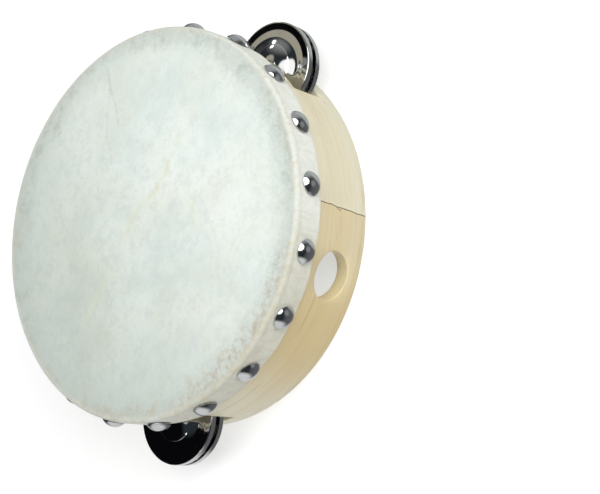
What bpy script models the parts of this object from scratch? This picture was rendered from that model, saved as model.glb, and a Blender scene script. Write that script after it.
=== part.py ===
"""A six-inch headed tambourine with four pairs of jingles.

Frame of reference: metres, +Z up. The open rim of the hoop stands on Z = 0 with its
centre at the origin, the skin head is on top, and the thumb hole faces -Y.
"""

import math

import bmesh
import bpy
from mathutils import Matrix, Vector

# ---- Driving dimensions, in metres ----

HEAD_DIAMETER = 0.152
DEPTH = 0.0415
WALL = 0.0054
SKIN_THICKNESS = 0.0005
GAP = 0.0003

FLAP_DEPTH = 0.013
TACK_DROP = 0.0075
SLOT_DROP = 0.026

SLOT_LENGTH = 0.040
SLOT_HEIGHT = 0.016
THUMB_HOLE_DIAMETER = 0.018

TACK_HEAD_RADIUS = 0.00475
TACK_HEAD_HEIGHT = 0.0026
TACK_SHANK_RADIUS = 0.0008
TACK_SHANK_LENGTH = 0.0048
TACK_POINT_LENGTH = 0.0015

PIN_RADIUS = 0.0010
PIN_RECESS = 0.0004
PIN_GRIP = 0.0037

JINGLE_RADIUS = 0.0183
JINGLE_HOLE_RADIUS = 0.0024
JINGLE_SHEET = 0.0007
JINGLE_HEIGHT = 0.0057
JINGLE_EDGE_HEIGHT = 0.0015
JINGLE_BEAD_HEIGHT = 0.0025
JINGLE_GROOVE_RADIUS = 0.0152
JINGLE_GROOVE_HEIGHT = 0.0021
JINGLE_CUP_RADIUS = 0.0108
JINGLE_SHOULDER_Z = 0.0026
PAIR_GAP = 0.0019

# ---- Layout round the hoop, in degrees from +X ----

THUMB_HOLE_ANGLE = -90.0
STATION_STEP = 72.0
JINGLE_PAIRS = 4
TACKS = 20
FIRST_TACK_ANGLE = -85.2

# ---- Derived sizes ----

HEAD_RADIUS = HEAD_DIAMETER / 2
SKIN_INNER_RADIUS = HEAD_RADIUS - SKIN_THICKNESS
HOOP_OUTER = SKIN_INNER_RADIUS - GAP
HOOP_INNER = HOOP_OUTER - WALL
MID_WALL = (HOOP_OUTER + HOOP_INNER) / 2
HOOP_TOP = DEPTH - SKIN_THICKNESS - GAP
HOOP_EDGE = 0.0005
BEND_RADIUS = 0.0018
SLOT_Z = DEPTH - SLOT_DROP
SLOT_FLOOR = SLOT_Z - SLOT_HEIGHT / 2
TACK_Z = DEPTH - TACK_DROP
PILOT_CLEARANCE = GAP
CUTTER_REACH = 2 * WALL
LOWER_RIM_Z = SLOT_FLOOR + GAP + JINGLE_HEIGHT
UPPER_RIM_Z = LOWER_RIM_Z + PAIR_GAP

HOOP_SEGMENTS = 60
JINGLE_SEGMENTS = 24
CUP_STEPS = 4
TACK_SEGMENTS = 10
PILOT_SEGMENTS = 8
PIN_SEGMENTS = 10
THUMB_SEGMENTS = 32
SHARP_ANGLE = math.radians(32)


def clear_scene():
    for obj in list(bpy.data.objects):
        bpy.data.objects.remove(obj, do_unlink=True)


def make_material(name, colour, roughness, metallic):
    material = bpy.data.materials.new(name)
    material.use_nodes = True
    shader = material.node_tree.nodes["Principled BSDF"]
    shader.inputs["Base Color"].default_value = (*colour, 1.0)
    shader.inputs["Roughness"].default_value = roughness
    shader.inputs["Metallic"].default_value = metallic
    material.diffuse_color = (*colour, 1.0)
    return material


def arc_points(centre, radius, start_deg, end_deg, steps):
    """Points of an arc in the (radius, height) plane, both ends included."""
    points = []
    for step in range(steps + 1):
        angle = math.radians(start_deg + (end_deg - start_deg) * step / steps)
        points.append((centre[0] + radius * math.cos(angle), centre[1] + radius * math.sin(angle)))
    return points


def revolve(name, profile, segments):
    """A closed body turned round Z. A profile that starts and ends on the axis is capped by fans."""
    mesh = bpy.data.meshes.new(name)
    work = bmesh.new()
    on_axis = profile[0][0] == 0.0
    rings = []
    for radius, height in profile:
        if radius == 0.0:
            rings.append([work.verts.new((0.0, 0.0, height))])
            continue
        ring = []
        for segment in range(segments):
            angle = 2 * math.pi * segment / segments
            ring.append(work.verts.new((radius * math.cos(angle), radius * math.sin(angle), height)))
        rings.append(ring)
    pairs = list(zip(rings, rings[1:]))
    if not on_axis:
        pairs.append((rings[-1], rings[0]))
    for one, other in pairs:
        for segment in range(segments):
            corners = [
                one[segment % len(one)],
                one[(segment + 1) % len(one)],
                other[(segment + 1) % len(other)],
                other[segment % len(other)],
            ]
            work.faces.new(list(dict.fromkeys(corners)))
    bmesh.ops.recalc_face_normals(work, faces=work.faces)
    work.to_mesh(mesh)
    work.free()
    mesh.shade_smooth()
    mesh.set_sharp_from_angle(angle=SHARP_ANGLE)
    return mesh


def add_object(name, mesh, material, parent=None):
    obj = bpy.data.objects.new(name, mesh)
    if not mesh.materials:
        mesh.materials.append(material)
    bpy.context.scene.collection.objects.link(obj)
    obj.parent = parent
    return obj


def add_rod(work, radius, start, end, segments):
    """A closed cylinder from start to end, for the cutters."""
    axis = end - start
    turn = axis.to_track_quat("Z", "Y").to_matrix().to_4x4()
    place = Matrix.Translation((start + end) / 2) @ turn
    bmesh.ops.create_cone(
        work,
        cap_ends=True,
        cap_tris=False,
        segments=segments,
        radius1=radius,
        radius2=radius,
        depth=axis.length,
        matrix=place,
    )


def finish_cutter(name, work):
    mesh = bpy.data.meshes.new(name)
    bmesh.ops.recalc_face_normals(work, faces=work.faces)
    work.to_mesh(mesh)
    work.free()
    cutter = bpy.data.objects.new(name, mesh)
    bpy.context.scene.collection.objects.link(cutter)
    cutter.hide_render = True
    cutter.display_type = "WIRE"
    return cutter


def cut(obj, cutter):
    modifier = obj.modifiers.new("cut_" + cutter.name, "BOOLEAN")
    modifier.operation = "DIFFERENCE"
    modifier.solver = "EXACT"
    modifier.object = cutter


def direction(angle_deg):
    angle = math.radians(angle_deg)
    return Vector((math.cos(angle), math.sin(angle), 0.0))


def jingle_angles():
    return [THUMB_HOLE_ANGLE + STATION_STEP * (pair + 1) for pair in range(JINGLE_PAIRS)]


def tack_angles():
    return [FIRST_TACK_ANGLE + 360.0 * tack / TACKS for tack in range(TACKS)]


def tack_pilot_cutter(name):
    """Radial holes that take the tack shanks, through the skin flap and part way into the wood."""
    work = bmesh.new()
    for angle in tack_angles():
        out = direction(angle)
        height = Vector((0.0, 0.0, TACK_Z))
        deepest = HEAD_RADIUS + GAP - TACK_SHANK_LENGTH - GAP
        start = out * deepest + height
        end = out * (HEAD_RADIUS + TACK_HEAD_HEIGHT) + height
        add_rod(work, TACK_SHANK_RADIUS + PILOT_CLEARANCE, start, end, PILOT_SEGMENTS)
    return finish_cutter(name, work)


def slot_cutter(name):
    """The four straight-sided jingle slots, cut square through the wall."""
    work = bmesh.new()
    for angle in jingle_angles():
        size = Matrix.Diagonal((2 * CUTTER_REACH, SLOT_LENGTH, SLOT_HEIGHT, 1.0))
        turn = Matrix.Rotation(math.radians(angle), 4, "Z")
        place = Matrix.Translation((MID_WALL, 0.0, SLOT_Z))
        bmesh.ops.create_cube(work, size=1.0, matrix=turn @ place @ size)
    return finish_cutter(name, work)


def thumb_hole_cutter(name):
    work = bmesh.new()
    out = direction(THUMB_HOLE_ANGLE)
    height = Vector((0.0, 0.0, SLOT_Z))
    start = out * (MID_WALL - CUTTER_REACH) + height
    end = out * (MID_WALL + CUTTER_REACH) + height
    add_rod(work, THUMB_HOLE_DIAMETER / 2, start, end, THUMB_SEGMENTS)
    return finish_cutter(name, work)


def pin_hole_cutter(name):
    """Holes drilled up from the open rim, across each slot and into the wood above it."""
    work = bmesh.new()
    top = SLOT_Z + SLOT_HEIGHT / 2 + PIN_GRIP + GAP
    for angle in jingle_angles():
        foot = direction(angle) * MID_WALL
        start = foot - Vector((0.0, 0.0, CUTTER_REACH))
        end = foot + Vector((0.0, 0.0, top))
        add_rod(work, PIN_RADIUS + PILOT_CLEARANCE, start, end, PIN_SEGMENTS)
    return finish_cutter(name, work)


def build_hoop(material):
    """The bent wooden strip, with its outer top edge rounded to carry the skin."""
    bend_centre = (HEAD_RADIUS - BEND_RADIUS, DEPTH - BEND_RADIUS)
    wood_bend = BEND_RADIUS - SKIN_THICKNESS - GAP
    profile = [
        (HOOP_INNER, HOOP_EDGE),
        (HOOP_INNER + HOOP_EDGE, 0.0),
        (HOOP_OUTER - HOOP_EDGE, 0.0),
        (HOOP_OUTER, HOOP_EDGE),
    ]
    profile += arc_points(bend_centre, wood_bend, 0, 90, 3)
    profile += [
        (HOOP_INNER + HOOP_EDGE, HOOP_TOP),
        (HOOP_INNER, HOOP_TOP - HOOP_EDGE),
    ]
    hoop = add_object("hoop", revolve("hoop", profile, HOOP_SEGMENTS), material)
    cut(hoop, slot_cutter("slot_cutter"))
    cut(hoop, thumb_hole_cutter("thumb_hole_cutter"))
    cut(hoop, pin_hole_cutter("pin_hole_cutter"))
    cut(hoop, tack_pilot_cutter("hoop_tack_cutter"))
    return hoop


def build_skin(material, parent):
    """The head: a flat membrane that turns over the hoop's edge into a side flap."""
    bend_centre = (HEAD_RADIUS - BEND_RADIUS, DEPTH - BEND_RADIUS)
    flap_edge = DEPTH - FLAP_DEPTH
    profile = [(0.0, DEPTH)]
    profile += arc_points(bend_centre, BEND_RADIUS, 90, 0, 4)
    profile += [(HEAD_RADIUS, flap_edge), (SKIN_INNER_RADIUS, flap_edge)]
    profile += arc_points(bend_centre, BEND_RADIUS - SKIN_THICKNESS, 0, 90, 4)
    profile += [(0.0, DEPTH - SKIN_THICKNESS)]
    skin = add_object("skin_head", revolve("skin_head", profile, HOOP_SEGMENTS), material, parent)
    cut(skin, tack_pilot_cutter("skin_tack_cutter"))
    return skin


def tack_mesh():
    """A domed tack along +Z: the head's flat underside is at Z = 0 and the shank runs below it."""
    rise = TACK_HEAD_HEIGHT
    sphere_radius = (TACK_HEAD_RADIUS**2 + rise**2) / (2 * rise)
    half_angle = math.degrees(math.asin(TACK_HEAD_RADIUS / sphere_radius))
    dome = arc_points((0.0, rise - sphere_radius), sphere_radius, 90, 90 - half_angle, 3)
    profile = [(0.0, rise)] + dome[1:]
    profile += [
        (TACK_SHANK_RADIUS, 0.0),
        (TACK_SHANK_RADIUS, TACK_POINT_LENGTH - TACK_SHANK_LENGTH),
        (0.0, -TACK_SHANK_LENGTH),
    ]
    return revolve("tack", profile, TACK_SEGMENTS)


def build_tacks(material, parent):
    mesh = tack_mesh()
    for number, angle in enumerate(tack_angles(), start=1):
        tack = add_object(f"tack_{number:02d}", mesh, material, parent)
        out = direction(angle)
        tack.location = out * (HEAD_RADIUS + GAP) + Vector((0.0, 0.0, TACK_Z))
        tack.rotation_mode = "QUATERNION"
        tack.rotation_quaternion = out.to_track_quat("Z", "Y")


def pin_mesh():
    top = SLOT_Z + SLOT_HEIGHT / 2 + PIN_GRIP
    ease = PIN_RADIUS / 4
    profile = [
        (0.0, PIN_RECESS),
        (PIN_RADIUS - ease, PIN_RECESS),
        (PIN_RADIUS, PIN_RECESS + ease),
        (PIN_RADIUS, top - ease),
        (PIN_RADIUS - ease, top),
        (0.0, top),
    ]
    return revolve("jingle_pin", profile, PIN_SEGMENTS)


def cup_arc(offset, steps):
    """The cup's dome from its foot to the pierced hole, offset inwards from the outer face."""
    rise = JINGLE_HEIGHT - JINGLE_SHOULDER_Z
    spread = JINGLE_HOLE_RADIUS**2 - JINGLE_CUP_RADIUS**2
    centre = (spread + JINGLE_HEIGHT**2 - JINGLE_SHOULDER_Z**2) / (2 * rise)
    radius = math.hypot(JINGLE_HOLE_RADIUS, JINGLE_HEIGHT - centre)
    foot = math.degrees(math.asin(JINGLE_CUP_RADIUS / radius))
    hole = math.degrees(math.asin(JINGLE_HOLE_RADIUS / (radius - offset)))
    return arc_points((0.0, centre), radius - offset, 90 - foot, 90 - hole, steps)


def jingle_mesh():
    """A pressed disc, dome up: rim on Z = 0, a raised bead, a shallow groove and a pierced cup."""
    upper = [
        (JINGLE_RADIUS, 0.0),
        (JINGLE_RADIUS, JINGLE_EDGE_HEIGHT),
        (JINGLE_RADIUS - JINGLE_SHEET, JINGLE_BEAD_HEIGHT),
        (JINGLE_GROOVE_RADIUS, JINGLE_GROOVE_HEIGHT),
    ]
    upper += cup_arc(0.0, CUP_STEPS)
    lower = list(reversed(cup_arc(JINGLE_SHEET, CUP_STEPS)))
    lower += [
        (JINGLE_GROOVE_RADIUS, JINGLE_GROOVE_HEIGHT - JINGLE_SHEET),
        (JINGLE_RADIUS - 2 * JINGLE_SHEET, JINGLE_BEAD_HEIGHT - JINGLE_SHEET),
        (JINGLE_RADIUS - JINGLE_SHEET, 0.0),
    ]
    return revolve("jingle", upper + lower, JINGLE_SEGMENTS)


def build_jingles(jingle_material, pin_material, parent):
    disc = jingle_mesh()
    pin = pin_mesh()
    for number, angle in enumerate(jingle_angles(), start=1):
        foot = direction(angle) * MID_WALL
        station = bpy.data.objects.new(f"station_{number}", None)
        bpy.context.scene.collection.objects.link(station)
        station.location = foot
        station.parent = parent
        add_object(f"jingle_pin_{number}", pin, pin_material, station)
        lower = add_object(f"jingle_{number}_lower", disc, jingle_material, station)
        lower.location = (0.0, 0.0, LOWER_RIM_Z)
        lower.rotation_euler = (math.pi, 0.0, 0.0)
        upper = add_object(f"jingle_{number}_upper", disc, jingle_material, station)
        upper.location = (0.0, 0.0, UPPER_RIM_Z)


def main():
    clear_scene()
    wood = make_material("pale_bentwood", (0.76, 0.66, 0.48), 0.55, 0.0)
    hide = make_material("stretched_hide", (0.76, 0.79, 0.74), 0.60, 0.0)
    nickel = make_material("nickel_plate", (0.62, 0.64, 0.64), 0.15, 1.0)
    steel = make_material("steel_wire", (0.40, 0.40, 0.40), 0.35, 1.0)
    hoop = build_hoop(wood)
    build_skin(hide, hoop)
    build_tacks(nickel, hoop)
    build_jingles(nickel, steel, hoop)


main()
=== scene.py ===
import math

import bmesh
import bpy
from mathutils import Matrix, Vector, noise


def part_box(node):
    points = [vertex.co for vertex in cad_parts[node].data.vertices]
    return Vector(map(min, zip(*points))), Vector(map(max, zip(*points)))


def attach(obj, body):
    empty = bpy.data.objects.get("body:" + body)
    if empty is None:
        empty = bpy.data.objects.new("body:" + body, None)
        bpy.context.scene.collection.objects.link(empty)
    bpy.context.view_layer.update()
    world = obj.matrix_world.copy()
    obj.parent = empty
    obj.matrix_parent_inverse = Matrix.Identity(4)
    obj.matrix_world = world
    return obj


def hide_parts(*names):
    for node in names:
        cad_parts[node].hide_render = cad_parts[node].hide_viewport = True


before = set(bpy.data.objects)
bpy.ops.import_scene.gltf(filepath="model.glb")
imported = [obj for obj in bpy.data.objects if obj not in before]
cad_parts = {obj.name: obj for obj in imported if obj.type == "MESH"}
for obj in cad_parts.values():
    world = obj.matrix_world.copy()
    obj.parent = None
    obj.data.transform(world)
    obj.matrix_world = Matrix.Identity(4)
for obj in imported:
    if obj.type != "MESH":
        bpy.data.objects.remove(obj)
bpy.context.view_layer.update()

# ---- Sizes read from the frame, in metres ----

HOOP_LOW, HOOP_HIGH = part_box("hoop")
SKIN_LOW, SKIN_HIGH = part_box("skin_head")
TACK_LOW, TACK_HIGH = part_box("tack_01")
PIN_LOW, PIN_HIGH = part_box("jingle_pin_1")
DISC_LOW, DISC_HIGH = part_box("jingle_1_upper")

HOOP_OUTER = HOOP_HIGH.x
HOOP_TOP = HOOP_HIGH.z
HEAD_RADIUS = SKIN_HIGH.x
DEPTH = SKIN_HIGH.z
FLAP_EDGE = SKIN_LOW.z
TACK_Z = (TACK_LOW.z + TACK_HIGH.z) / 2
TACK_HEAD_RADIUS = (TACK_HIGH.z - TACK_LOW.z) / 2
PIN_RADIUS = (PIN_HIGH.x - PIN_LOW.x) / 2
JINGLE_RADIUS = (DISC_HIGH.x - DISC_LOW.x) / 2
JINGLE_HEIGHT = DISC_HIGH.z - DISC_LOW.z

# ---- Sizes that a box doesn't give ----

WALL = 0.0054
HOOP_INNER = HOOP_OUTER - WALL
SLOT_LENGTH = 0.040
SLOT_HEIGHT = 0.016
SLOT_Z = DEPTH - 0.026
SLOT_CORNER = 0.0008
SLOT_EASE = 0.0003
THUMB_RADIUS = 0.009
THUMB_EASE = 0.0005
PIN_CLEARANCE = 0.0001
PIN_END_CLEARANCE = 0.0002
BEND_RADIUS = 0.0018
SKIN_THICKNESS = 0.0006
TACK_HEAD_HEIGHT = 0.0026
TACK_SHANK_RADIUS = 0.0008
TACK_SHANK_LENGTH = 0.0048
TACK_UNDERSIDE = HEAD_RADIUS + 0.0003
JINGLE_HOLE_RADIUS = 0.0024
JINGLE_SHEET = 0.0006
JINGLE_BEAD_HEIGHT = 0.0025
JINGLE_GROOVE_RADIUS = 0.0152
JINGLE_GROOVE_HEIGHT = 0.00223
JINGLE_CUP_RADIUS = 0.0108
JINGLE_SHOULDER_Z = 0.0026

THUMB_ANGLE = math.radians(-90.0)
SEAM_TOP_ANGLE = math.radians(-70.6)
SEAM_RIM_ANGLE = math.radians(-71.5)
TACKS = 20
PAIRS = 4


def centre_of(node):
    low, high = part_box(node)
    return (low + high) / 2


def angle_of(node):
    middle = centre_of(node)
    return math.atan2(middle.y, middle.x)


TACK_ANGLES = [angle_of(f"tack_{number:02d}") for number in range(1, TACKS + 1)]
PAIR_ANGLES = [angle_of(f"jingle_pin_{number}") for number in range(1, PAIRS + 1)]


# ---- Mesh helpers ----


def radial(angle):
    return Vector((math.cos(angle), math.sin(angle), 0.0))


def wrapped(angle):
    """The angle brought between minus pi and pi."""
    return math.atan2(math.sin(angle), math.cos(angle))


def piece_from_mesh(name, mesh, material, smooth_angle=35.0):
    obj = bpy.data.objects.new(name, mesh)
    bpy.context.scene.collection.objects.link(obj)
    mesh.materials.append(material)
    mesh.shade_smooth()
    mesh.set_sharp_from_angle(angle=math.radians(smooth_angle))
    return obj


def placed_copy(name, mesh, material, place):
    """A piece of its own, made from a shared mesh that is moved to its place."""
    own = mesh.copy()
    own.transform(place)
    return piece_from_mesh(name, own, material)


def mesh_from_work(name, work):
    mesh = bpy.data.meshes.new(name)
    bmesh.ops.recalc_face_normals(work, faces=work.faces)
    work.to_mesh(mesh)
    work.free()
    return mesh


def bridge(work, one, other):
    """Quads between two closed rings, or a fan where one of them is a single point."""
    count = max(len(one), len(other))
    for step in range(count):
        corners = [
            one[step % len(one)],
            one[(step + 1) % len(one)],
            other[(step + 1) % len(other)],
            other[step % len(other)],
        ]
        work.faces.new(list(dict.fromkeys(corners)))


def bridge_and_cap(work, rings):
    for one, other in zip(rings, rings[1:]):
        bridge(work, one, other)
    work.faces.new(rings[0])
    work.faces.new(rings[-1])


def turned_mesh(name, profile, segments):
    """A body turned round Z from (radius, height) points. It closes on the axis or on itself."""
    work = bmesh.new()
    rings = []
    for radius, height in profile:
        if radius == 0.0:
            rings.append([work.verts.new((0.0, 0.0, height))])
            continue
        ring = []
        for segment in range(segments):
            angle = 2 * math.pi * segment / segments
            ring.append(work.verts.new(radial(angle) * radius + Vector((0.0, 0.0, height))))
        rings.append(ring)
    for one, other in zip(rings, rings[1:]):
        bridge(work, one, other)
    if profile[0][0] != 0.0:
        bridge(work, rings[-1], rings[0])
    return mesh_from_work(name, work)


def arc(centre, radius, start_deg, end_deg, steps):
    points = []
    for step in range(steps + 1):
        angle = math.radians(start_deg + (end_deg - start_deg) * step / steps)
        points.append((centre[0] + radius * math.cos(angle), centre[1] + radius * math.sin(angle)))
    return points


def smooth_line(points, per_span):
    """A Catmull-Rom curve through points in a plane."""
    ends = [points[0]] + list(points) + [points[-1]]
    line = []
    for before, start, end, after in zip(ends, ends[1:], ends[2:], ends[3:]):
        for step in range(per_span):
            t = step / per_span
            line.append(
                tuple(
                    0.5
                    * (
                        2 * b
                        + (c - a) * t
                        + (2 * a - 5 * b + 4 * c - d) * t * t
                        + (3 * b - a - 3 * c + d) * t * t * t
                    )
                    for a, b, c, d in zip(before, start, end, after)
                )
            )
    line.append(tuple(points[-1]))
    return line


def apply_modifiers(obj):
    graph = bpy.context.evaluated_depsgraph_get()
    made = bpy.data.meshes.new_from_object(obj.evaluated_get(graph))
    obj.modifiers.clear()
    old = obj.data
    obj.data = made
    bpy.data.meshes.remove(old)


def cut(obj, cutter):
    modifier = obj.modifiers.new("cut", "BOOLEAN")
    modifier.operation = "DIFFERENCE"
    modifier.solver = "EXACT"
    modifier.object = cutter
    modifier.material_mode = "TRANSFER"
    apply_modifiers(obj)
    bpy.data.objects.remove(cutter, do_unlink=True)


# ---- Node helpers ----


def colour_sockets(sockets):
    """A mix node has sockets of several kinds: these are the ones that carry a colour."""
    return [socket for socket in sockets if socket.type == "RGBA"]


class Nodes:
    """A small builder for one material's node tree."""

    def __init__(self, name):
        self.material = bpy.data.materials.new(name)
        self.material.use_nodes = True
        self.tree = self.material.node_tree
        self.shader = self.tree.nodes["Principled BSDF"]
        coordinates = self.add("ShaderNodeTexCoord")
        self.position = coordinates.outputs["Object"]

    def add(self, kind, **settings):
        node = self.tree.nodes.new(kind)
        for key, value in settings.items():
            setattr(node, key, value)
        return node

    def link(self, source, target):
        if isinstance(source, bpy.types.NodeSocket):
            self.tree.links.new(source, target)
        else:
            target.default_value = source

    def math(self, operation, *values, clamp=False):
        node = self.add("ShaderNodeMath", operation=operation, use_clamp=clamp)
        for value, socket in zip(values, node.inputs):
            self.link(value, socket)
        return node.outputs[0]

    def times(self, first, *others):
        """The product of all the values."""
        product = first
        for value in others:
            product = self.math("MULTIPLY", product, value)
        return product

    def jittered(self, value, pattern, amount):
        """The value moved either way by up to half of amount, as the pattern goes."""
        return self.math("ADD", value, self.times(self.math("SUBTRACT", pattern, 0.5), amount))

    def combine(self, x, y, z):
        node = self.add("ShaderNodeCombineXYZ")
        for value, socket in zip((x, y, z), node.inputs):
            self.link(value, socket)
        return node.outputs[0]

    def length_of(self, x, y):
        squares = self.math("ADD", self.times(x, x), self.times(y, y))
        return self.math("SQRT", squares)

    def towards(self, angle):
        """How far a point lies from the centre in the direction of angle."""
        return self.vector_math("DOT_PRODUCT", self.position, tuple(radial(angle))).outputs["Value"]

    def split(self, vector):
        node = self.add("ShaderNodeSeparateXYZ")
        self.link(vector, node.inputs[0])
        return node.outputs

    def stretched(self, vector, scale, shift=(0.0, 0.0, 0.0)):
        node = self.add("ShaderNodeMapping")
        self.link(vector, node.inputs["Vector"])
        node.inputs["Scale"].default_value = scale
        node.inputs["Location"].default_value = shift
        return node.outputs[0]

    def noise(self, vector, scale, detail=3.0, roughness=0.5, distortion=0.0):
        node = self.add("ShaderNodeTexNoise")
        self.link(vector, node.inputs["Vector"])
        node.inputs["Scale"].default_value = scale
        node.inputs["Detail"].default_value = detail
        node.inputs["Roughness"].default_value = roughness
        node.inputs["Distortion"].default_value = distortion
        return node.outputs["Fac"]

    def vector_math(self, operation, *values):
        node = self.add("ShaderNodeVectorMath", operation=operation)
        for value, socket in zip(values, node.inputs):
            self.link(value, socket)
        return node

    def stroke(self, vector, start, end, half_width):
        """1 on the line from start to end on the head, fading to 0 at half_width from it."""
        flat = self.vector_math("MULTIPLY", vector, (1.0, 1.0, 0.0)).outputs["Vector"]
        first = Vector((*start, 0.0))
        run = Vector((*end, 0.0)) - first
        away = self.vector_math("SUBTRACT", flat, tuple(first)).outputs["Vector"]
        along = self.vector_math("DOT_PRODUCT", away, tuple(run / run.length_squared)).outputs["Value"]
        along = self.math("ADD", along, 0.0, clamp=True)
        nearest = self.vector_math("SCALE", tuple(run))
        self.link(along, nearest.inputs["Scale"])
        gap = self.vector_math("DISTANCE", away, nearest.outputs["Vector"]).outputs["Value"]
        return self.ramp(gap, 0.0, half_width, 1.0, 0.0)

    def ramp(self, value, low, high, out_low=0.0, out_high=1.0):
        node = self.add("ShaderNodeMapRange", interpolation_type="SMOOTHSTEP")
        self.link(value, node.inputs["Value"])
        node.inputs["From Min"].default_value = low
        node.inputs["From Max"].default_value = high
        node.inputs["To Min"].default_value = out_low
        node.inputs["To Max"].default_value = out_high
        return node.outputs["Result"]

    def mix(self, factor, one, other, blend="MIX"):
        node = self.add("ShaderNodeMix", data_type="RGBA", blend_type=blend)
        self.link(factor, node.inputs["Factor"])
        for value, socket in zip((one, other), colour_sockets(node.inputs)):
            if isinstance(value, tuple):
                socket.default_value = (*value, 1.0)
            else:
                self.link(value, socket)
        return colour_sockets(node.outputs)[0]

    def layered(self, colour, layers):
        """The colour under (pattern, low, high, strength, shade) layers, each laid over the last."""
        for pattern, low, high, strength, shade in layers:
            colour = self.mix(self.ramp(pattern, low, high, 0.0, strength), colour, shade)
        return colour

    def surface(self, inputs):
        """Sets or links the shader's inputs by name."""
        for name, value in inputs.items():
            self.link(value, self.shader.inputs[name])

    def bump(self, height, strength, distance):
        node = self.add("ShaderNodeBump")
        self.link(height, node.inputs["Height"])
        node.inputs["Strength"].default_value = strength
        node.inputs["Distance"].default_value = distance
        self.tree.links.new(node.outputs["Normal"], self.shader.inputs["Normal"])


HELD_ANGLE = math.radians(-114)
SOILED_ANGLE = math.radians(-150)
# Creases and veins of the hide, in metres on the head: (start, end, half width, colour, strength)
CREASE_SHADE = (0.50, 0.56, 0.53)
VEIN_SHADE = (0.68, 0.70, 0.52)
VEIN_WANDER = 0.006
VEINS = (
    ((0.0570, 0.0440), (0.0490, 0.0400), 0.0012, CREASE_SHADE, 0.60),
    ((0.0490, 0.0400), (0.0412, 0.0330), 0.0010, CREASE_SHADE, 0.50),
    ((0.0412, 0.0330), (0.0340, 0.0290), 0.0010, CREASE_SHADE, 0.30),
    ((0.0490, 0.0400), (0.0385, 0.0380), 0.0009, CREASE_SHADE, 0.25),
    ((0.0385, 0.0380), (0.0300, 0.0340), 0.0009, CREASE_SHADE, 0.40),
    ((0.0300, 0.0340), (0.0210, 0.0270), 0.0012, CREASE_SHADE, 0.30),
    ((0.0360, -0.0060), (0.0270, -0.0040), 0.0018, VEIN_SHADE, 0.45),
    ((0.0270, -0.0040), (0.0170, -0.0010), 0.0020, VEIN_SHADE, 0.60),
    ((0.0170, -0.0010), (0.0070, 0.0050), 0.0020, VEIN_SHADE, 0.60),
    ((0.0070, 0.0050), (-0.0060, 0.0110), 0.0024, VEIN_SHADE, 0.45),
    ((0.0160, -0.0210), (0.0060, -0.0260), 0.0022, VEIN_SHADE, 0.30),
    ((-0.0180, 0.0130), (-0.0420, 0.0180), 0.0024, VEIN_SHADE, 0.30),
)


def wood_material():
    nodes = Nodes("pale_bentwood")
    x, y, z = nodes.split(nodes.position)
    turn = nodes.math("ARCTAN2", y, x)
    radius = nodes.length_of(x, y)
    # The strip unrolled: along the grain, across it, and through its thickness.
    strip = nodes.combine(nodes.times(turn, HOOP_OUTER), z, radius)
    fibres = nodes.noise(nodes.stretched(strip, (14.0, 1100.0, 1100.0)), 1.0, 4.0, 0.6, 0.3)
    figure = nodes.noise(nodes.stretched(strip, (7.0, 120.0, 240.0)), 1.0, 4.0, 0.55, 0.8)
    patches = nodes.noise(nodes.stretched(strip, (14.0, 40.0, 45.0), (3.1, 0.4, 0.0)), 1.0, 3.0, 0.55)
    streaks = nodes.noise(nodes.stretched(strip, (26.0, 330.0, 330.0), (0.0, 2.7, 0.0)), 1.0, 3.0, 0.5, 0.4)
    pores = nodes.noise(nodes.stretched(strip, (130.0, 2600.0, 2600.0)), 1.0, 2.0, 0.5)
    pale = (0.795, 0.745, 0.560)
    warm = (0.740, 0.660, 0.455)
    tan = (0.640, 0.535, 0.335)
    amber = (0.70, 0.59, 0.375)
    blond = (0.85, 0.805, 0.635)
    streak_brown = (0.52, 0.39, 0.22)
    pore_brown = (0.46, 0.34, 0.20)
    layers = (
        (figure, 0.42, 0.70, 0.60, warm),
        (fibres, 0.48, 0.78, 0.32, tan),
        (patches, 0.52, 0.74, 0.45, amber),
        (patches, 0.44, 0.26, 0.40, blond),
        (streaks, 0.62, 0.72, 0.35, streak_brown),
        (pores, 0.64, 0.74, 0.30, pore_brown),
    )
    colour = nodes.layered(pale, layers)

    # The strip's inner end shows below the lap: it is browner, and it pales again round the hoop.
    lean = (SEAM_TOP_ANGLE - SEAM_RIM_ANGLE) / FLAP_EDGE
    lap_blur = 0.002
    past_lap = nodes.math("SUBTRACT", nodes.times(z, lean), turn)
    lap_start = nodes.ramp(past_lap, -SEAM_RIM_ANGLE - lap_blur, -SEAM_RIM_ANGLE + lap_blur)
    browner = nodes.ramp(past_lap, math.radians(78), math.radians(104), 0.60, 1.0)
    paler = nodes.ramp(past_lap, math.radians(112), math.radians(138), 1.0, 0.0)
    under_lap = nodes.times(lap_start, browner, paler)
    colour = nodes.mix(under_lap, colour, (0.895, 0.780, 0.580), "MULTIPLY")
    # Painted shade darkens the wood in a band below the skin's edge.
    shade_band_width = 0.018
    under_skin_shade = nodes.ramp(z, FLAP_EDGE - shade_band_width, FLAP_EDGE, 0.0, 0.80)
    colour = nodes.mix(under_skin_shade, colour, (0.87, 0.86, 0.84), "MULTIPLY")
    nodes.surface(
        {
            "Base Color": colour,
            "Roughness": nodes.ramp(fibres, 0.3, 0.8, 0.42, 0.60),
            "Coat Weight": 0.12,
            "Coat Roughness": 0.35,
        }
    )
    nodes.bump(nodes.math("ADD", fibres, nodes.times(pores, 0.6)), 0.35, 0.00012)
    return nodes.material


def seam_material():
    nodes = Nodes("dark_glue_line")
    speckle = nodes.noise(nodes.position, 900.0, 2.0)
    colour = nodes.mix(nodes.ramp(speckle, 0.35, 0.7), (0.24, 0.19, 0.12), (0.44, 0.36, 0.25))
    nodes.surface({"Base Color": colour, "Roughness": 0.85})
    return nodes.material


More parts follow.
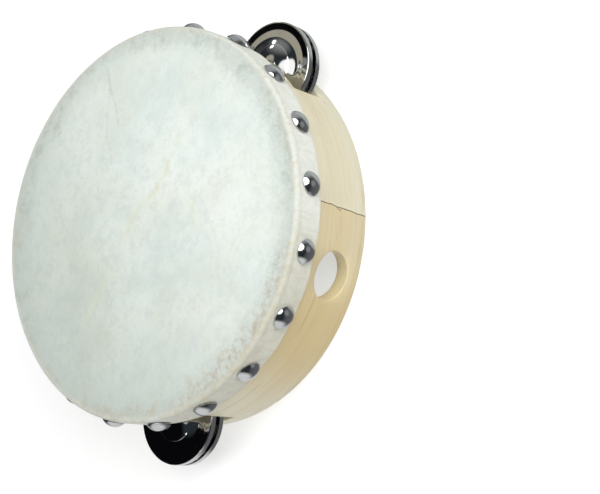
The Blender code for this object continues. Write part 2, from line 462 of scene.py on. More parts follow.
class Hide(Nodes):
    """The skin's material, in layers of colour that share a few patterns."""

    def __init__(self):
        super().__init__("stretched_hide")
        self.x, self.y, self.z = self.split(self.position)
        self.radius = self.length_of(self.x, self.y)
        shifted = self.stretched(self.position, (1.0, 1.0, 1.0), (0.7, 0.2, 0.0))
        self.clouds = self.noise(self.position, 26.0, 5.0, 0.62)
        self.tint = self.noise(shifted, 40.0, 4.0, 0.6)
        self.blotches = self.noise(self.position, 230.0, 6.0, 0.74)
        self.grain = self.noise(self.position, 850.0, 4.0, 0.75)
        self.speckle = self.ramp(self.grain, 0.34, 0.62, 0.45, 1.0)
        # Where the hand has held it, beside the thumb hole, and the wider soiled side round it.
        self.held = self.ramp(self.towards(HELD_ANGLE), HEAD_RADIUS * 0.74, HEAD_RADIUS * 0.96)
        self.soiled = self.ramp(self.towards(SOILED_ANGLE), HEAD_RADIUS * 0.25, HEAD_RADIUS * 0.90)
        # Painted shade: the hide is darkened towards one side, where less light falls on it.
        shade_slope = self.math("SUBTRACT", self.times(self.y, 0.6), self.x)
        self.painted_shade_side = self.ramp(shade_slope, HEAD_RADIUS * -0.7, HEAD_RADIUS * 1.1)
        # The distance from the centre, made uneven so that the dirt's rings are broken ones.
        uneven = self.jittered(self.radius, self.clouds, 0.018)
        self.worn = self.jittered(uneven, self.blotches, 0.008)

    def near_edge(self, far, near, low=0.0, high=1.0):
        """Runs from low at far metres inside the head's edge to high at near metres inside it."""
        return self.ramp(self.worn, HEAD_RADIUS - far, HEAD_RADIUS - near, low, high)

    def plain(self):
        """Mottled white, from warm to cool, duller towards the edge, with painted shade towards one side.
        """
        fibres = self.noise(self.stretched(self.position, (330.0, 520.0, 330.0)), 1.0, 5.0, 0.7)
        warm = (0.780, 0.805, 0.725)
        cool = (0.725, 0.800, 0.765)
        pale = (0.835, 0.885, 0.840)
        colour = self.mix(self.ramp(self.tint, 0.34, 0.66), warm, cool)
        layers = (
            (self.clouds, 0.36, 0.66, 0.85, pale),
            (self.clouds, 0.52, 0.30, 0.45, (0.66, 0.725, 0.68)),
            (self.blotches, 0.46, 0.64, 0.38, (0.60, 0.655, 0.61)),
            (fibres, 0.50, 0.70, 0.22, (0.62, 0.66, 0.61)),
            (self.grain, 0.50, 0.70, 0.25, (0.58, 0.62, 0.58)),
            (self.radius, HEAD_RADIUS * 0.35, HEAD_RADIUS * 0.97, 0.30, (0.62, 0.685, 0.64)),
        )
        # Painted shade laid over the colour last, darkening it towards one side.
        return self.mix(self.painted_shade_side, self.layered(colour, layers), (0.755, 0.775, 0.755), "MULTIPLY")

    def veined(self, colour):
        """(the colour with the veins drawn over it, how strong a crease is at each point)."""
        wander = self.add("ShaderNodeTexNoise")
        self.link(self.position, wander.inputs["Vector"])
        wander.inputs["Scale"].default_value = 55.0
        wander.inputs["Detail"].default_value = 3.0
        shift = (VEIN_WANDER, VEIN_WANDER, 0.0)
        bent = self.vector_math("MULTIPLY_ADD", wander.outputs["Color"], shift, self.position)
        faded = self.ramp(self.blotches, 0.32, 0.60, 0.20, 1.0)
        creases = None
        for start, end, half_width, shade, strength in VEINS:
            broken = self.times(self.stroke(bent.outputs[0], start, end, half_width), faded)
            colour = self.mix(self.times(broken, strength), colour, shade)
            creases = broken if creases is None else self.math("MAXIMUM", creases, broken)
        return colour, creases

    def dirtied(self, colour):
        """Handling dirt in a broken ring just inside the edge, heavier on the soiled side."""
        ring = self.near_edge(0.015, 0.001)
        # The ring is made stronger on the side of the painted shade, which deepens that shade.
        dirt = self.times(ring, self.speckle, self.ramp(self.painted_shade_side, 0.1, 0.9, 0.60, 0.80))
        colour = self.mix(dirt, colour, (0.51, 0.57, 0.52))

        border = self.near_edge(0.0080, 0.0062, 0.0, 0.34)
        border = self.times(border, self.ramp(self.soiled, 0.0, 1.0, 1.0, 0.3))
        colour = self.mix(border, colour, (0.54, 0.59, 0.54))

        margin = self.near_edge(0.012, 0.003)
        mottle = self.ramp(self.noise(self.position, 150.0, 5.0, 0.7), 0.50, 0.62)
        mottle = self.times(mottle, margin, self.ramp(self.soiled, 0.0, 1.0, 0.50, 0.60))
        mottle_shade = self.mix(self.soiled, (0.40, 0.45, 0.39), (0.50, 0.45, 0.34))
        colour = self.mix(mottle, colour, mottle_shade)

        stain = self.times(
            self.near_edge(0.0055, 0.0015),
            self.ramp(self.tint, 0.42, 0.62, 0.08, 0.45),
            self.ramp(self.soiled, 0.0, 1.0, 0.5, 1.0),
            self.speckle,
        )
        colour = self.mix(stain, colour, (0.45, 0.39, 0.29))

        crumbs = self.ramp(self.noise(self.position, 430.0, 4.0, 0.7), 0.47, 0.62)
        crumbs = self.times(crumbs, margin, self.held, 0.65)
        return self.mix(crumbs, colour, (0.47, 0.38, 0.30))

    def flap(self, gathers):
        """The bend and the flap: creamier, with faint gathers running down from the head, and painted shade
        along the bend.
        """
        cream = self.mix(self.ramp(self.blotches, 0.36, 0.72), (0.785, 0.800, 0.740), (0.700, 0.705, 0.625))
        # Painted shade darkens the gathers' folds, beside the relief that the bump gives them.
        cream = self.mix(self.ramp(gathers, 0.48, 0.70, 0.0, 0.50), cream, (0.63, 0.61, 0.52))
        cut_edge = self.ramp(self.z, FLAP_EDGE + 0.0002, FLAP_EDGE + 0.0012, 0.5, 0.0)
        cream = self.mix(cut_edge, cream, (0.60, 0.54, 0.40))
        # Painted shade along the bend, which dims the light that the bend catches.
        bend_shade = self.ramp(self.z, DEPTH - 0.0036, DEPTH - 0.0010)
        cream = self.mix(self.times(bend_shade, 0.70), cream, (0.590, 0.615, 0.565))
        flecks = self.ramp(self.noise(self.position, 520.0, 3.0, 0.7), 0.50, 0.62, 0.0, 0.55)
        flecks = self.times(flecks, self.ramp(self.z, DEPTH - 0.0030, DEPTH - 0.0012))
        cream = self.mix(flecks, cream, (0.60, 0.52, 0.35))
        cream = self.mix(self.held, cream, (0.87, 0.85, 0.79), "MULTIPLY")
        smudge = self.ramp(self.noise(self.position, 210.0, 4.0, 0.65), 0.48, 0.66)
        smudge = self.times(smudge, self.soiled, 0.40)
        return self.mix(smudge, cream, (0.56, 0.50, 0.40))


def hide_material():
    hide = Hide()
    turn = hide.math("ARCTAN2", hide.y, hide.x)
    strip = hide.combine(hide.times(turn, HEAD_RADIUS * 620.0), hide.times(hide.z, 60.0), 0.0)
    gathers = hide.noise(strip, 1.0, 3.0, 0.6, 0.8)
    ragged = hide.jittered(hide.radius, hide.blotches, 0.0040)
    side = hide.ramp(ragged, HEAD_RADIUS - 0.0030, HEAD_RADIUS - 0.0006)
    colour, creases = hide.veined(hide.plain())
    hide.surface(
        {
            "Base Color": hide.mix(side, hide.dirtied(colour), hide.flap(gathers)),
            "Roughness": hide.ramp(hide.blotches, 0.3, 0.8, 0.50, 0.70),
            "Specular IOR Level": 0.35,
            "Subsurface Weight": 0.15,
            "Subsurface Radius": (1.0, 0.85, 0.6),
            "Subsurface Scale": 0.001,
        }
    )
    relief = hide.math("ADD", hide.times(hide.blotches, 0.7), hide.times(hide.grain, 0.35))
    relief = hide.math("SUBTRACT", relief, hide.times(creases, 0.35))
    relief = hide.math("ADD", relief, hide.times(gathers, side, 2.2))
    hide.bump(relief, 0.40, 0.00028)
    return hide.material


def plated_material(name, colour, roughness, wave_scale, wave_depth):
    nodes = Nodes(name)
    smear = nodes.noise(nodes.position, 160.0, 3.0, 0.6)
    waves = nodes.noise(nodes.position, wave_scale, 2.0, 0.5)
    scratches = nodes.noise(nodes.stretched(nodes.position, (500.0, 6000.0, 2500.0)), 1.0, 2.0, 0.5)
    tarnished = tuple(channel * 0.78 for channel in colour)
    nodes.surface(
        {
            "Base Color": nodes.mix(nodes.ramp(smear, 0.45, 0.8, 0.0, 0.6), colour, tarnished),
            "Metallic": 1.0,
            "Roughness": nodes.ramp(smear, 0.3, 0.8, roughness, roughness * 2.0),
        }
    )
    nodes.bump(nodes.math("ADD", waves, nodes.times(scratches, 0.03)), 1.0, wave_depth)
    return nodes.material


def steel_material():
    nodes = Nodes("drawn_steel_wire")
    streaks = nodes.noise(nodes.stretched(nodes.position, (3000.0, 3000.0, 60.0)), 1.0, 2.0)
    nodes.surface(
        {
            "Base Color": nodes.mix(nodes.ramp(streaks, 0.3, 0.7), (0.36, 0.355, 0.35), (0.50, 0.49, 0.48)),
            "Metallic": 1.0,
            "Roughness": nodes.ramp(streaks, 0.3, 0.7, 0.28, 0.45),
        }
    )
    return nodes.material


# ---- The hoop ----


def rounded_rectangle(half_length, half_height, corner, corner_steps, side_steps):
    """A closed outline in the (along the strip, up) plane, anticlockwise."""
    outline = []
    middles = (
        (half_length - corner, half_height - corner, 0),
        (corner - half_length, half_height - corner, 90),
        (corner - half_length, corner - half_height, 180),
        (half_length - corner, corner - half_height, 270),
    )
    for number, (x, y, start) in enumerate(middles):
        outline += arc((x, y), corner, start, start + 90, corner_steps)
        next_x, next_y, _ = middles[(number + 1) % 4]
        if abs(next_x - x) > abs(next_y - y):
            start_x, start_y = outline[-1]
            for step in range(1, side_steps):
                outline.append((start_x + (next_x - start_x) * step / side_steps, start_y))
    return outline


def grown(outline, amount):
    """The outline moved outwards by amount, along its corner normals."""
    count = len(outline)
    moved = []
    for index, (x, y) in enumerate(outline):
        before, after = outline[index - 1], outline[(index + 1) % count]
        along = Vector((after[0] - before[0], after[1] - before[1]))
        out = Vector((along.y, -along.x)).normalized()
        moved.append((x + out.x * amount, y + out.y * amount))
    return moved


def wall_cutter(name, outline, angle, height, ease, material):
    """A cutter through the wall at angle, whose mouth at each face is eased by a round of radius ease."""
    work = bmesh.new()
    beyond = 0.002
    stations = [(HOOP_INNER - beyond, ease)]
    steps = 4
    for step in range(steps + 1):
        depth = ease * step / steps
        growth = ease - math.sqrt(max(0.0, ease**2 - (ease - depth) ** 2))
        stations.append((HOOP_INNER + depth, growth))
    for radius, growth in reversed(stations[1:]):
        stations.append((HOOP_OUTER + HOOP_INNER - radius, growth))
    stations.append((HOOP_OUTER + beyond, ease))
    rings = []
    for radius, growth in stations:
        ring = []
        for along, up in grown(outline, growth):
            out = math.sqrt(radius**2 - along**2)
            place = radial(angle) * out + radial(angle + math.pi / 2) * along
            ring.append(work.verts.new(place + Vector((0.0, 0.0, height + up))))
        rings.append(ring)
    bridge_and_cap(work, rings)
    return piece_from_mesh(name, mesh_from_work(name, work), material)


def seam_angle(height):
    """The glued lap's edge leans a little on its way from the skin to the open rim."""
    return SEAM_RIM_ANGLE + (SEAM_TOP_ANGLE - SEAM_RIM_ANGLE) * height / FLAP_EDGE


def seam_path():
    """(angle, height) points of the lap's outer edge, from under the skin to below the open rim."""
    top = FLAP_EDGE + 0.004
    low = HOOP_LOW.z - 0.001
    count = 44
    waver = 0.0042
    points = []
    for number in range(count + 1):
        height = top + (low - top) * number / count
        wobble = waver * noise.noise(Vector((height * 260.0, 4.0, 0.0)))
        points.append((seam_angle(height) + wobble, height))
    return points


def chip_path():
    """A splinter that has lifted beside the lap, half way down."""
    start = DEPTH - 0.0232
    return [
        (seam_angle(start) - 0.001, start),
        (seam_angle(start) - 0.009, start - 0.0010),
        (seam_angle(start) - 0.017, start - 0.0022),
        (seam_angle(start) - 0.009, start - 0.0030),
        (seam_angle(start) - 0.003, start - 0.0034),
    ]


def split_path():
    """A short split along the grain from the first slot's corner."""
    corner = PAIR_ANGLES[0] - math.asin(SLOT_LENGTH / 2 / HOOP_OUTER)
    height = SLOT_Z - SLOT_HEIGHT / 2
    return [
        (corner + 0.004, height + 0.0004),
        (corner - 0.018, height - 0.0001),
        (corner - 0.036, height - 0.0008),
        (corner - 0.052, height - 0.0011),
    ]


def groove_cutter(path, half_width, depth, material):
    """A thin V groove along (angle, height) points on the outside of the hoop."""
    work = bmesh.new()
    proud = 0.0006
    end_taper = 0.35
    rings = []
    for index, (angle, height) in enumerate(path):
        before = path[max(index - 1, 0)]
        after = path[min(index + 1, len(path) - 1)]
        along = Vector(((after[0] - before[0]) * HOOP_OUTER, after[1] - before[1])).normalized()
        ends = end_taper if index in (0, len(path) - 1) else 1.0
        wide = half_width * ends * (1.0 + 0.5 * noise.noise(Vector((height * 500.0, 9.0, 1.0))))
        spread = wide * (proud + depth) / depth
        mouth = HOOP_OUTER + proud
        ring = []
        for side, radius in ((0.0, HOOP_OUTER - depth * ends), (1.0, mouth), (-1.0, mouth)):
            turn = angle - along.y * side * spread / HOOP_OUTER
            lift = Vector((0.0, 0.0, height + along.x * side * spread))
            ring.append(work.verts.new(radial(turn) * radius + lift))
        rings.append(ring)
    bridge_and_cap(work, rings)
    return piece_from_mesh("groove_cutter", mesh_from_work("groove_cutter", work), material)


def rod_cutter(name, radius, start, end, material, segments=20):
    work = bmesh.new()
    axis = end - start
    place = Matrix.Translation((start + end) / 2) @ axis.to_track_quat("Z", "Y").to_matrix().to_4x4()
    bmesh.ops.create_cone(
        work,
        cap_ends=True,
        segments=segments,
        radius1=radius,
        radius2=radius,
        depth=axis.length,
        matrix=place,
    )
    return piece_from_mesh(name, mesh_from_work(name, work), material)


def build_hoop(wood, glue):
    ease = 0.0006
    # Under the skin's bend the rim is rounded a little more tightly than the skin.
    bend = BEND_RADIUS - 0.0008
    profile = arc((HOOP_INNER + ease, HOOP_LOW.z + ease), ease, 180, 270, 4)
    profile += arc((HOOP_OUTER - ease, HOOP_LOW.z + ease), ease, 270, 360, 4)
    profile += arc((HOOP_OUTER - bend, HOOP_TOP - bend), bend, 0, 90, 5)
    profile += arc((HOOP_INNER + ease, HOOP_TOP - ease), ease, 90, 180, 4)
    hoop = piece_from_mesh("bentwood_hoop", turned_mesh("bentwood_hoop", profile, 360), wood)
    slot = rounded_rectangle(SLOT_LENGTH / 2, SLOT_HEIGHT / 2, SLOT_CORNER, 4, 26)
    for angle in PAIR_ANGLES:
        cut(hoop, wall_cutter("slot_cutter", slot, angle, SLOT_Z, SLOT_EASE, wood))
    round_hole = arc((0.0, 0.0), THUMB_RADIUS, 0, 360, 72)[:-1]
    cut(hoop, wall_cutter("thumb_cutter", round_hole, THUMB_ANGLE, SLOT_Z, THUMB_EASE, wood))
    for number in range(1, PAIRS + 1):
        low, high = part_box(f"jingle_pin_{number}")
        middle = (low + high) / 2
        start = Vector((middle.x, middle.y, -WALL))
        end = Vector((middle.x, middle.y, high.z + PIN_END_CLEARANCE))
        cut(hoop, rod_cutter("pin_cutter", PIN_RADIUS + PIN_CLEARANCE, start, end, wood))
    for path, half_width, depth in (
        (seam_path(), 0.00020, 0.00035),
        (chip_path(), 0.00016, 0.00030),
        (split_path(), 0.00013, 0.00025),
    ):
        cut(hoop, groove_cutter(path, half_width, depth, glue))
    hoop.data.shade_smooth()
    hoop.data.set_sharp_from_angle(angle=math.radians(35))
    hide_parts("hoop")
    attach(hoop, "frame")
    return hoop


# ---- The skin ----


EDGE_DROP = 0.0002
EDGE_WAVER = 0.00035
EDGE_FRAY = 0.0002
PUFF = 0.00022
DIMPLE = 0.00010
DIMPLE_REACH = 0.006
RIPPLE = 0.00010
PUCKER = 0.00010
PUCKER_START = 0.80


def noise_round(angle, scale, height):
    """Noise that closes on itself round the head."""
    return noise.noise(Vector((math.cos(angle) * scale, math.sin(angle) * scale, height)))


def nearest_tack(angle):
    """(the tack nearest to this angle, how far round it is as a share of half the spacing)."""
    gaps = [(abs(wrapped(angle - tack)), number) for number, tack in enumerate(TACK_ANGLES)]
    gap, number = min(gaps)
    return number, gap / (math.pi / TACKS)


def pull(angle):
    """0 at a tack and 1 half way to the next one."""
    return 0.5 - 0.5 * math.cos(math.pi * nearest_tack(angle)[1])


def skin_rows():
    """(radius, height, share of flap) down the outer face, from the centre to the flap's cut edge."""
    rows = []
    flat = HEAD_RADIUS - BEND_RADIUS
    rings = 40
    for step in range(1, rings + 1):
        rows.append((flat * step / rings, DEPTH, 0.0))
    for radius, height in arc((flat, DEPTH - BEND_RADIUS), BEND_RADIUS, 90, 0, 8)[1:]:
        rows.append((radius, height, 0.0))
    drop = DEPTH - BEND_RADIUS - FLAP_EDGE
    steps = 18
    for step in range(1, steps + 1):
        rows.append((HEAD_RADIUS, DEPTH - BEND_RADIUS - drop * step / steps, step / steps))
    return rows


def skin_point(radius, height, share, angle, inset):
    """A point of the skin, inset below its outer face, with its sag, puckers and ragged edge."""
    side = max(0.0, min(1.0, (DEPTH - height) / BEND_RADIUS))
    ragged = EDGE_WAVER * noise_round(angle, 9.0, 2.0) + EDGE_FRAY * noise_round(angle, 40.0, 7.0)
    low = height + (EDGE_DROP + ragged) * share**4
    near_tack = math.exp(-(((height - TACK_Z) / DIMPLE_REACH) ** 2))
    puff = PUFF * pull(angle) * side * (0.35 + 0.65 * share)
    pressed = -DIMPLE * (1.0 - pull(angle)) * near_tack * side
    ripple = RIPPLE * side * noise_round(angle, 16.0, height * 90)
    out = radius + side * (puff + pressed + ripple)
    rim = max(0.0, radius / HEAD_RADIUS - PUCKER_START) / (1.0 - PUCKER_START)
    flat_ripple = RIPPLE * (1.0 - side) * noise_round(angle, radius * 60, 3.0)
    pucker = -PUCKER * (1.0 - side) * rim * (1.0 - rim) * 4.0 * pull(angle)
    place = radial(angle) * out + Vector((0.0, 0.0, low + flat_ripple + pucker))
    return place - radial(angle) * inset * side - Vector((0.0, 0.0, inset * (1.0 - side)))


def build_skin(hide):
    segments = 480
    rows = skin_rows()
    work = bmesh.new()

    def face_rings(inset):
        centre = work.verts.new((0.0, 0.0, DEPTH - inset))
        rings = [[centre]]
        for radius, height, share in rows:
            ring = []
            for segment in range(segments):
                angle = 2 * math.pi * segment / segments
                ring.append(work.verts.new(skin_point(radius, height, share, angle, inset)))
            rings.append(ring)
        return rings

    outer = face_rings(0.0)
    inner = face_rings(SKIN_THICKNESS)
    for rings in (outer, inner):
        for one, other in zip(rings, rings[1:]):
            bridge(work, one, other)
    bridge(work, outer[-1], inner[-1])
    skin = piece_from_mesh("hide_head", mesh_from_work("hide_head", work), hide, 50.0)
    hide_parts("skin_head")
    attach(skin, "frame")
    return skin


# ---- The tacks ----


def tack_profile():
    rise = TACK_HEAD_HEIGHT
    lip = 0.0002
    sphere = (TACK_HEAD_RADIUS**2 + (rise - lip) ** 2) / (2 * (rise - lip))
    half = math.degrees(math.asin(TACK_HEAD_RADIUS / sphere))
    dome = arc((0.0, rise - sphere), sphere, 90, 90 - half, 14)
    profile = [(0.0, rise)] + dome[1:]
    profile += [
        (TACK_HEAD_RADIUS, lip * 0.4),
        (TACK_HEAD_RADIUS - lip * 0.6, 0.0),
        (TACK_SHANK_RADIUS + 0.0003, 0.0),
        (TACK_SHANK_RADIUS, -0.0002),
        (TACK_SHANK_RADIUS, 0.0015 - TACK_SHANK_LENGTH),
        (0.0, -TACK_SHANK_LENGTH),
    ]
    return profile


def build_tacks(plate):
    """The tacks, each driven in a little askew."""
    mesh = turned_mesh("domed_tack", tack_profile(), 48)
    slack = 0.05
    for number, angle in enumerate(TACK_ANGLES, start=1):
        sideways = slack * noise.noise(Vector((number * 3.7, 0.3, 0.0)))
        upwards = slack * noise.noise(Vector((0.4, number * 2.9, 0.0)))
        out = radial(angle)
        across = radial(angle + math.pi / 2)
        aim = (out + across * sideways + Vector((0.0, 0.0, upwards))).normalized()
        seat = Matrix.Translation(out * TACK_UNDERSIDE + Vector((0.0, 0.0, TACK_Z)))
        place = seat @ aim.to_track_quat("Z", "Y").to_matrix().to_4x4()
        tack = placed_copy(f"domed_tack_{number:02d}", mesh, plate, place)
        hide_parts(f"tack_{number:02d}")
        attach(tack, "frame")


# ---- The jingles and their pins ----


def jingle_face():
    """The disc's outer face: rim, raised bead, shallow groove, coned ring, cup and pierced hole."""
    bead = 0.0005
    bead_centre = (JINGLE_RADIUS - bead, JINGLE_BEAD_HEIGHT - bead)
    face = [(JINGLE_RADIUS - 0.00012, 0.00002), (JINGLE_RADIUS, 0.00018)]
    face += arc(bead_centre, bead, 0, 96, 10)
    rise = JINGLE_HEIGHT - JINGLE_SHOULDER_Z
    spread = JINGLE_HOLE_RADIUS**2 - JINGLE_CUP_RADIUS**2
    centre = (spread + JINGLE_HEIGHT**2 - JINGLE_SHOULDER_Z**2) / (2 * rise)
    dome = math.hypot(JINGLE_HOLE_RADIUS, JINGLE_HEIGHT - centre)
    foot = math.degrees(math.asin(JINGLE_CUP_RADIUS / dome))
    hole = math.degrees(math.asin(JINGLE_HOLE_RADIUS / dome))
    cup = arc((0.0, centre), dome, 90 - foot + 4.0, 90 - hole - 1.5, 18)
    ring = [
        face[-1],
        (JINGLE_GROOVE_RADIUS + 0.0012, JINGLE_GROOVE_HEIGHT + 0.00013),
        (JINGLE_GROOVE_RADIUS + 0.0004, JINGLE_GROOVE_HEIGHT + 0.00005),
        (JINGLE_GROOVE_RADIUS - 0.0001, JINGLE_GROOVE_HEIGHT + 0.00001),
        (JINGLE_GROOVE_RADIUS - 0.0008, JINGLE_GROOVE_HEIGHT + 0.00002),
        (JINGLE_CUP_RADIUS + 0.0014, JINGLE_GROOVE_HEIGHT + 0.00011),
    ]
    face += smooth_line(ring + cup[:2], 6)[1:]
    face += cup[2:]
    face.append((JINGLE_HOLE_RADIUS + 0.00012, JINGLE_HEIGHT - 0.00002))
    face.append((JINGLE_HOLE_RADIUS, JINGLE_HEIGHT - 0.00016))
    return face


def offset_inwards(points, amount):
    moved = []
    for before, here, after in zip(points, points[1:], points[2:]):
        along = Vector((after[0] - before[0], after[1] - before[1])).normalized()
        moved.append((here[0] - along.y * amount, here[1] + along.x * amount))
    return moved


def jingle_mesh():
    face = jingle_face()
    inner = offset_inwards(face[2:-2], JINGLE_SHEET)
    profile = face + [(JINGLE_HOLE_RADIUS, JINGLE_HEIGHT - JINGLE_SHEET)]
    profile += [point for point in reversed(inner) if point[1] > 0.0004]
    profile += [(JINGLE_RADIUS - JINGLE_SHEET, 0.0002), (JINGLE_RADIUS - JINGLE_SHEET + 0.00015, 0.00002)]
    return turned_mesh("pressed_jingle", profile, 128)


def build_jingles(plate, steel):
    disc = jingle_mesh()
    pin_length = PIN_HIGH.z - PIN_LOW.z
    ease = PIN_RADIUS * 0.3
    pin_profile = [(0.0, 0.0)] + arc((PIN_RADIUS - ease, ease), ease, 270, 360, 4)
    pin_profile += arc((PIN_RADIUS - ease, pin_length - ease), ease, 0, 90, 4) + [(0.0, pin_length)]
    pin_body = turned_mesh("wire_pin", pin_profile, 28)
    for number in range(1, PAIRS + 1):
        pin_low, pin_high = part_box(f"jingle_pin_{number}")
        axis = (pin_low + pin_high) / 2
        foot = Matrix.Translation((axis.x, axis.y, pin_low.z))
        pin = placed_copy(f"wire_pin_{number}", pin_body, steel, foot)
        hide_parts(f"jingle_pin_{number}")
        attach(pin, "frame")
        for place in ("lower", "upper"):
            node = f"jingle_{number}_{place}"
            low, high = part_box(node)
            if place == "upper":
                seat = Matrix.Translation((axis.x, axis.y, low.z))
            else:
                seat = Matrix.Translation((axis.x, axis.y, high.z)) @ Matrix.Rotation(math.pi, 4, "X")
            piece = placed_copy(f"pressed_jingle_{number}_{place}", disc, plate, seat)
            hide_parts(node)
            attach(piece, f"{place}_jingle_{number}")


# ---- Studio ----

STAGE_RADIUS = 4.0
# (name, direction, distance, size, energy)
SOFTBOXES = (
    ("key_light", (0.46, -0.52, 0.72), 0.62, 0.58, 2.9),
    ("back_spot", (0.65, 0.68, 0.34), 0.9, 0.09, 0.12),
    ("side_spot", (-0.64, -0.18, 0.74), 0.9, 0.08, 0.10),
)
# Wide lights that brighten dull surfaces and that the metal doesn't reflect: (name, direction, energy)
FILLS = (
    ("top_fill", (-0.30, 0.35, 1.0), 3.6),
    ("front_fill", (0.35, -0.85, 0.1), 3.8),
    ("side_fill", (-0.75, -0.6, 0.1), 2.7),
    ("back_fill", (-0.5, 0.9, 0.15), 1.6),
)
FILL_DISTANCE = 1.0
FILL_SIZE = 0.8
# (height from straight down at 0 to straight up at 1, colour)
WORLD_STOPS = (
    (0.0, (0.16, 0.16, 0.17)),
    (0.45, (0.10, 0.10, 0.11)),
    (0.60, (0.025, 0.030, 0.034)),
    (1.0, (0.028, 0.037, 0.042)),
)
# (direction, inner and outer angle in degrees, colour)
WORLD_PATCHES = (
    ((1.0, 0.25, 0.15), 12.0, 50.0, (0.42, 0.43, 0.44)),
    ((-1.0, -0.15, -0.05), 22.0, 50.0, (0.80, 0.81, 0.82)),
    ((-0.55, 0.35, -0.75), 10.0, 38.0, (0.78, 0.79, 0.80)),
    ((0.0, 0.64, -0.77), 14.0, 42.0, (0.80, 0.81, 0.82)),
    ((0.68, 0.15, -0.68), 24.0, 44.0, (0.54, 0.58, 0.58)),
    ((0.35, -0.80, -0.20), 4.0, 26.0, (0.30, 0.30, 0.31)),
    ((-0.40, 0.70, 0.60), 36.0, 46.0, (0.003, 0.003, 0.004)),
    ((0.22, -0.15, 0.96), 15.0, 19.0, (1.35, 1.35, 1.36)),
    ((0.26, 0.62, 0.74), 10.0, 14.0, (0.46, 0.43, 0.35)),
)


def stage_material(name, colour, near_glow, far_glow):
    """A pale surface whose own glow rises with distance, so that it stays even out to its edge."""
    nodes = Nodes(name)
    x, y, _ = nodes.split(nodes.position)
    nodes.surface(
        {
            "Base Color": (*colour, 1.0),
            "Roughness": 0.9,
            "Specular IOR Level": 0.0,
            "Emission Color": (1.0, 1.0, 1.0, 1.0),
            "Emission Strength": nodes.ramp(nodes.length_of(x, y), 0.25, 1.2, near_glow, far_glow),
        }
    )
    return nodes.material


def hide_from_light(obj):
    """Seen by the camera only, so that it neither lights nor shades the object."""
    obj.visible_glossy = False
    obj.visible_diffuse = False
    obj.visible_shadow = False


def build_stage():
    bpy.ops.mesh.primitive_circle_add(
        vertices=96, radius=STAGE_RADIUS, fill_type="NGON", location=(0.0, 0.0, -0.0002)
    )
    floor = bpy.context.object
    floor.name = "floor"
    floor.data.materials.append(stage_material("pale_floor", (0.62, 0.62, 0.62), 0.48, 0.75))
    hide_from_light(floor)
    bpy.ops.mesh.primitive_uv_sphere_add(segments=64, ring_count=32, radius=STAGE_RADIUS)
    backdrop = bpy.context.object
    backdrop.name = "backdrop"
    backdrop.data.materials.append(stage_material("pale_backdrop", (0.05, 0.05, 0.05), 0.95, 0.95))
    hide_from_light(backdrop)


def add_softbox(name, direction, distance, size, energy):
    light = bpy.data.lights.new(name, "AREA")
    light.shape = "DISK"
    light.size = size
    light.energy = energy
    lamp = bpy.data.objects.new(name, light)
    bpy.context.scene.collection.objects.link(lamp)
    out = Vector(direction).normalized()
    lamp.location = out * distance
    lamp.rotation_euler = out.to_track_quat("Z", "Y").to_euler()
    return lamp


def build_lights():
    for name, direction, distance, size, energy in SOFTBOXES:
        add_softbox(name, direction, distance, size, energy)
    for name, direction, energy in FILLS:
        fill = add_softbox(name, direction, FILL_DISTANCE, FILL_SIZE, energy)
        fill.visible_glossy = False


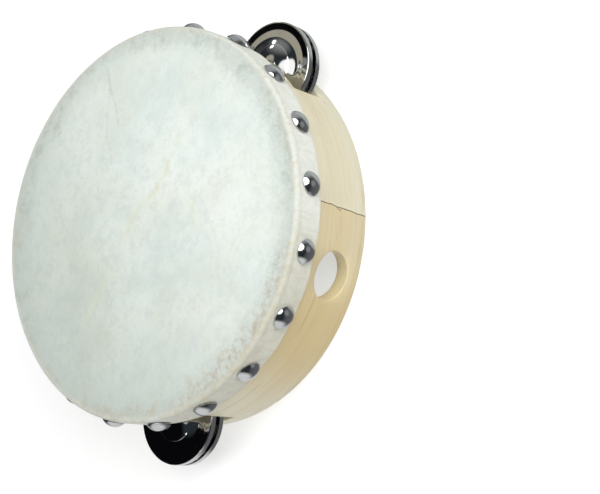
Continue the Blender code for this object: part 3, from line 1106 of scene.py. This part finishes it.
def build_world():
    """A dim studio, lighter below the horizon, with soft bright and dark patches by direction."""
    world = bpy.data.worlds.new("studio")
    bpy.context.scene.world = world
    world.use_nodes = True
    tree = world.node_tree
    background = tree.nodes["Background"]
    coordinates = tree.nodes.new("ShaderNodeTexCoord")
    parts = tree.nodes.new("ShaderNodeSeparateXYZ")
    tree.links.new(coordinates.outputs["Generated"], parts.inputs[0])
    height = tree.nodes.new("ShaderNodeValToRGB")
    lift = tree.nodes.new("ShaderNodeMapRange")
    tree.links.new(parts.outputs["Z"], lift.inputs["Value"])
    lift.inputs["From Min"].default_value = -1.0
    tree.links.new(lift.outputs["Result"], height.inputs["Fac"])
    stops = height.color_ramp.elements
    stops[0].position, stops[0].color = WORLD_STOPS[0][0], (*WORLD_STOPS[0][1], 1.0)
    stops[1].position, stops[1].color = WORLD_STOPS[-1][0], (*WORLD_STOPS[-1][1], 1.0)
    for place, colour in WORLD_STOPS[1:-1]:
        stop = stops.new(place)
        stop.color = (*colour, 1.0)
    colour = height.outputs["Color"]
    for direction, inner, outer, shade in WORLD_PATCHES:
        nearness = tree.nodes.new("ShaderNodeVectorMath")
        nearness.operation = "DOT_PRODUCT"
        tree.links.new(coordinates.outputs["Generated"], nearness.inputs[0])
        nearness.inputs[1].default_value = Vector(direction).normalized()
        edge = tree.nodes.new("ShaderNodeMapRange")
        edge.interpolation_type = "SMOOTHSTEP"
        tree.links.new(nearness.outputs["Value"], edge.inputs["Value"])
        edge.inputs["From Min"].default_value = math.cos(math.radians(outer))
        edge.inputs["From Max"].default_value = math.cos(math.radians(inner))
        blend = tree.nodes.new("ShaderNodeMix")
        blend.data_type = "RGBA"
        under, over = colour_sockets(blend.inputs)
        tree.links.new(edge.outputs["Result"], blend.inputs["Factor"])
        tree.links.new(colour, under)
        over.default_value = (*shade, 1.0)
        colour = colour_sockets(blend.outputs)[0]
    tree.links.new(colour, background.inputs["Color"])


def build_camera():
    """The viewpoint: above the thumb hole's side, rolled so that +X points up the picture."""
    aim = Vector((0.0063, -0.0443, -0.0004))
    distance = 0.496
    azimuth = math.radians(2.38)
    elevation = math.radians(50.33)
    roll = math.radians(-76.6)
    back = Vector(
        (
            math.sin(azimuth) * math.cos(elevation),
            -math.cos(azimuth) * math.cos(elevation),
            math.sin(elevation),
        )
    )
    data = bpy.data.cameras.new("camera")
    data.lens = 78.0
    data.sensor_width = 36.0
    camera = bpy.data.objects.new("camera", data)
    bpy.context.scene.collection.objects.link(camera)
    turn = back.to_track_quat("Z", "Y").to_matrix() @ Matrix.Rotation(roll, 3, "Z")
    camera.matrix_world = Matrix.Translation(aim + back * distance) @ turn.to_4x4()
    bpy.context.scene.camera = camera


build_camera()
tack_plate = plated_material("nickel_tack_plate", (0.66, 0.67, 0.66), 0.10, 420.0, 0.00002)
jingle_plate = plated_material("nickel_jingle_plate", (0.68, 0.68, 0.66), 0.05, 120.0, 0.00003)
build_hoop(wood_material(), seam_material())
build_skin(hide_material())
build_tacks(tack_plate)
build_jingles(jingle_plate, steel_material())
build_stage()
build_world()
build_lights()
bpy.context.scene.view_settings.view_transform = "Standard"
